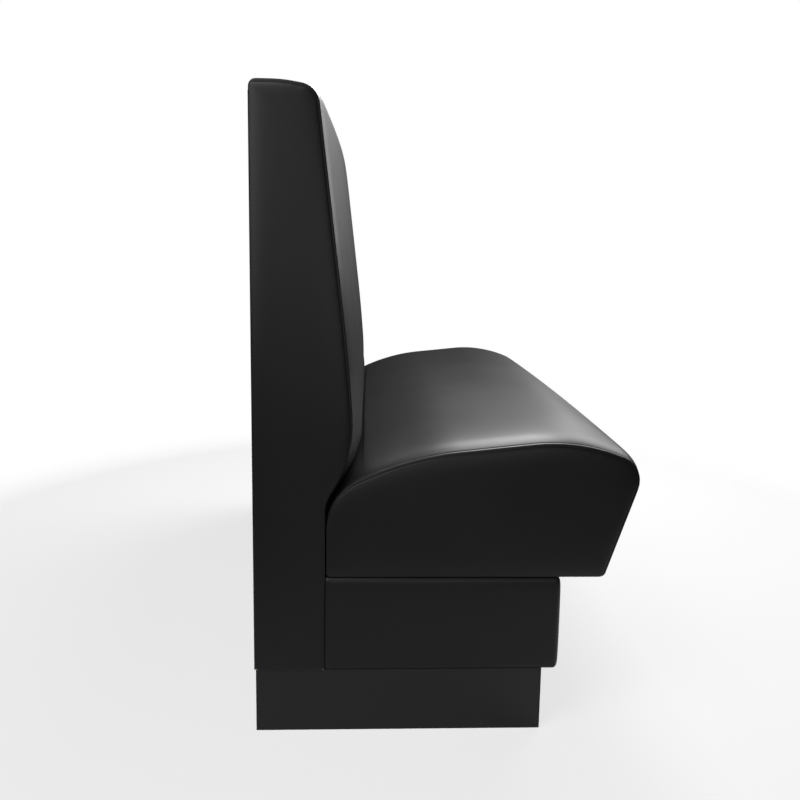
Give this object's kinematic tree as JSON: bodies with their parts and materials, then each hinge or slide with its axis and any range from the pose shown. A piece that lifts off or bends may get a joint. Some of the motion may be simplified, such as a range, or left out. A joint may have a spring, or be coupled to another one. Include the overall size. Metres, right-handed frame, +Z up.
{
  "type": "restaurant booth seating",
  "caption": "Single restaurant booth with a tall padded back, a rolled sprung seat and an upholstered box on a recessed plinth, all in black vinyl.",
  "frame": {"origin": "on the floor under the middle of the booth's bounding box", "axes": "+X along the booth to the sitter's left, -Y the way the sitter faces, +Z up"},
  "size_m": [1.219, 0.6526, 1.073],
  "materials": {
    "black_vinyl": "satin",
    "foam": "matte",
    "felt": "matte",
    "black_cloth": "matte",
    "black_laminate": "satin",
    "black_nylon": "matte",
    "zinc_steel": "satin",
    "plywood": "matte"
  },
  "bodies": {
    "booth": {"back_bottom_rail": "plywood", "back_cover": "black_vinyl", "back_end_cover_left": "black_vinyl", "back_end_cover_right": "black_vinyl", "back_end_pad_left": "foam", "back_end_pad_right": "foam", "back_face_board": "plywood", "back_foam": "foam", "back_gusset_left": "plywood", "back_gusset_right": "plywood", "back_inner_gussets": "plywood", "back_lumbar_rail": "plywood", "back_middle_rail": "plywood", "back_rear_panel": "black_cloth", "back_tack_rail": "plywood", "back_to_box_bolts": "zinc_steel", "back_top_rail": "plywood", "box_cover": "black_vinyl", "box_deck": "plywood", "box_end_board_left": "plywood", "box_end_board_right": "plywood", "box_front_board": "plywood", "box_middle_supports": "plywood", "box_padding": "foam", "box_rear_board": "plywood", "levelling_tee_nuts": "zinc_steel", "plinth_corner_blocks": "plywood", "plinth_cross_rails": "plywood", "plinth_end_board_left": "black_laminate", "plinth_end_board_right": "black_laminate", "plinth_front_board": "black_laminate", "plinth_rear_board": "black_laminate", "plinth_screws": "zinc_steel", "seat_cover": "black_vinyl", "seat_dust_cover": "black_cloth", "seat_end_cover_left": "black_vinyl", "seat_end_cover_right": "black_vinyl", "seat_end_pad_left": "foam", "seat_end_pad_right": "foam", "seat_end_rail_left": "plywood", "seat_end_rail_right": "plywood", "seat_fixing_brackets": "zinc_steel", "seat_fixing_screws": "zinc_steel", "seat_foam": "foam", "seat_front_rail": "plywood", "seat_rear_rail": "plywood", "seat_slats": "plywood", "spring_clips": "zinc_steel", "spring_insulator": "felt", "zigzag_springs": "zinc_steel"},
    "front_left_foot_pad": {"foot_pad_front_left": "black_nylon"},
    "front_left_foot_stem": {"foot_stem_front_left": "zinc_steel"},
    "front_right_foot_pad": {"foot_pad_front_right": "black_nylon"},
    "front_right_foot_stem": {"foot_stem_front_right": "zinc_steel"},
    "rear_left_foot_pad": {"foot_pad_rear_left": "black_nylon"},
    "rear_left_foot_stem": {"foot_stem_rear_left": "zinc_steel"},
    "rear_right_foot_pad": {"foot_pad_rear_right": "black_nylon"},
    "rear_right_foot_stem": {"foot_stem_rear_right": "zinc_steel"}
  },
  "joints": [
    {"name": "front_left_foot_travel", "type": "slide", "parent": "booth", "child": "front_left_foot_pad", "axis": [0, 0, -1], "range_m": [0, 0.02]},
    {"name": "front_left_foot_turn", "type": "hinge", "parent": "front_left_foot_pad", "child": "front_left_foot_stem", "pos_m": [0.563, -0.12025, 0.01], "axis": [0, 0, -1], "range_deg": [0, 5760]},
    {"name": "front_right_foot_travel", "type": "slide", "parent": "booth", "child": "front_right_foot_pad", "axis": [0, 0, -1], "range_m": [0, 0.02]},
    {"name": "front_right_foot_turn", "type": "hinge", "parent": "front_right_foot_pad", "child": "front_right_foot_stem", "pos_m": [-0.563, -0.12025, 0.01], "axis": [0, 0, -1], "range_deg": [0, 5760]},
    {"name": "rear_left_foot_travel", "type": "slide", "parent": "booth", "child": "rear_left_foot_pad", "axis": [0, 0, -1], "range_m": [0, 0.02]},
    {"name": "rear_left_foot_turn", "type": "hinge", "parent": "rear_left_foot_pad", "child": "rear_left_foot_stem", "pos_m": [0.563, 0.28275, 0.01], "axis": [0, 0, -1], "range_deg": [0, 5760]},
    {"name": "rear_right_foot_travel", "type": "slide", "parent": "booth", "child": "rear_right_foot_pad", "axis": [0, 0, -1], "range_m": [0, 0.02]},
    {"name": "rear_right_foot_turn", "type": "hinge", "parent": "rear_right_foot_pad", "child": "rear_right_foot_stem", "pos_m": [-0.563, 0.28275, 0.01], "axis": [0, 0, -1], "range_deg": [0, 5760]}
  ],
  "couplings": [
    {"joint": "front_left_foot_turn", "follows": "front_left_foot_travel", "rad_per_m": 5026.5},
    {"joint": "front_right_foot_turn", "follows": "front_right_foot_travel", "rad_per_m": 5026.5},
    {"joint": "rear_left_foot_turn", "follows": "rear_left_foot_travel", "rad_per_m": 5026.5},
    {"joint": "rear_right_foot_turn", "follows": "rear_right_foot_travel", "rad_per_m": 5026.5}
  ]
}
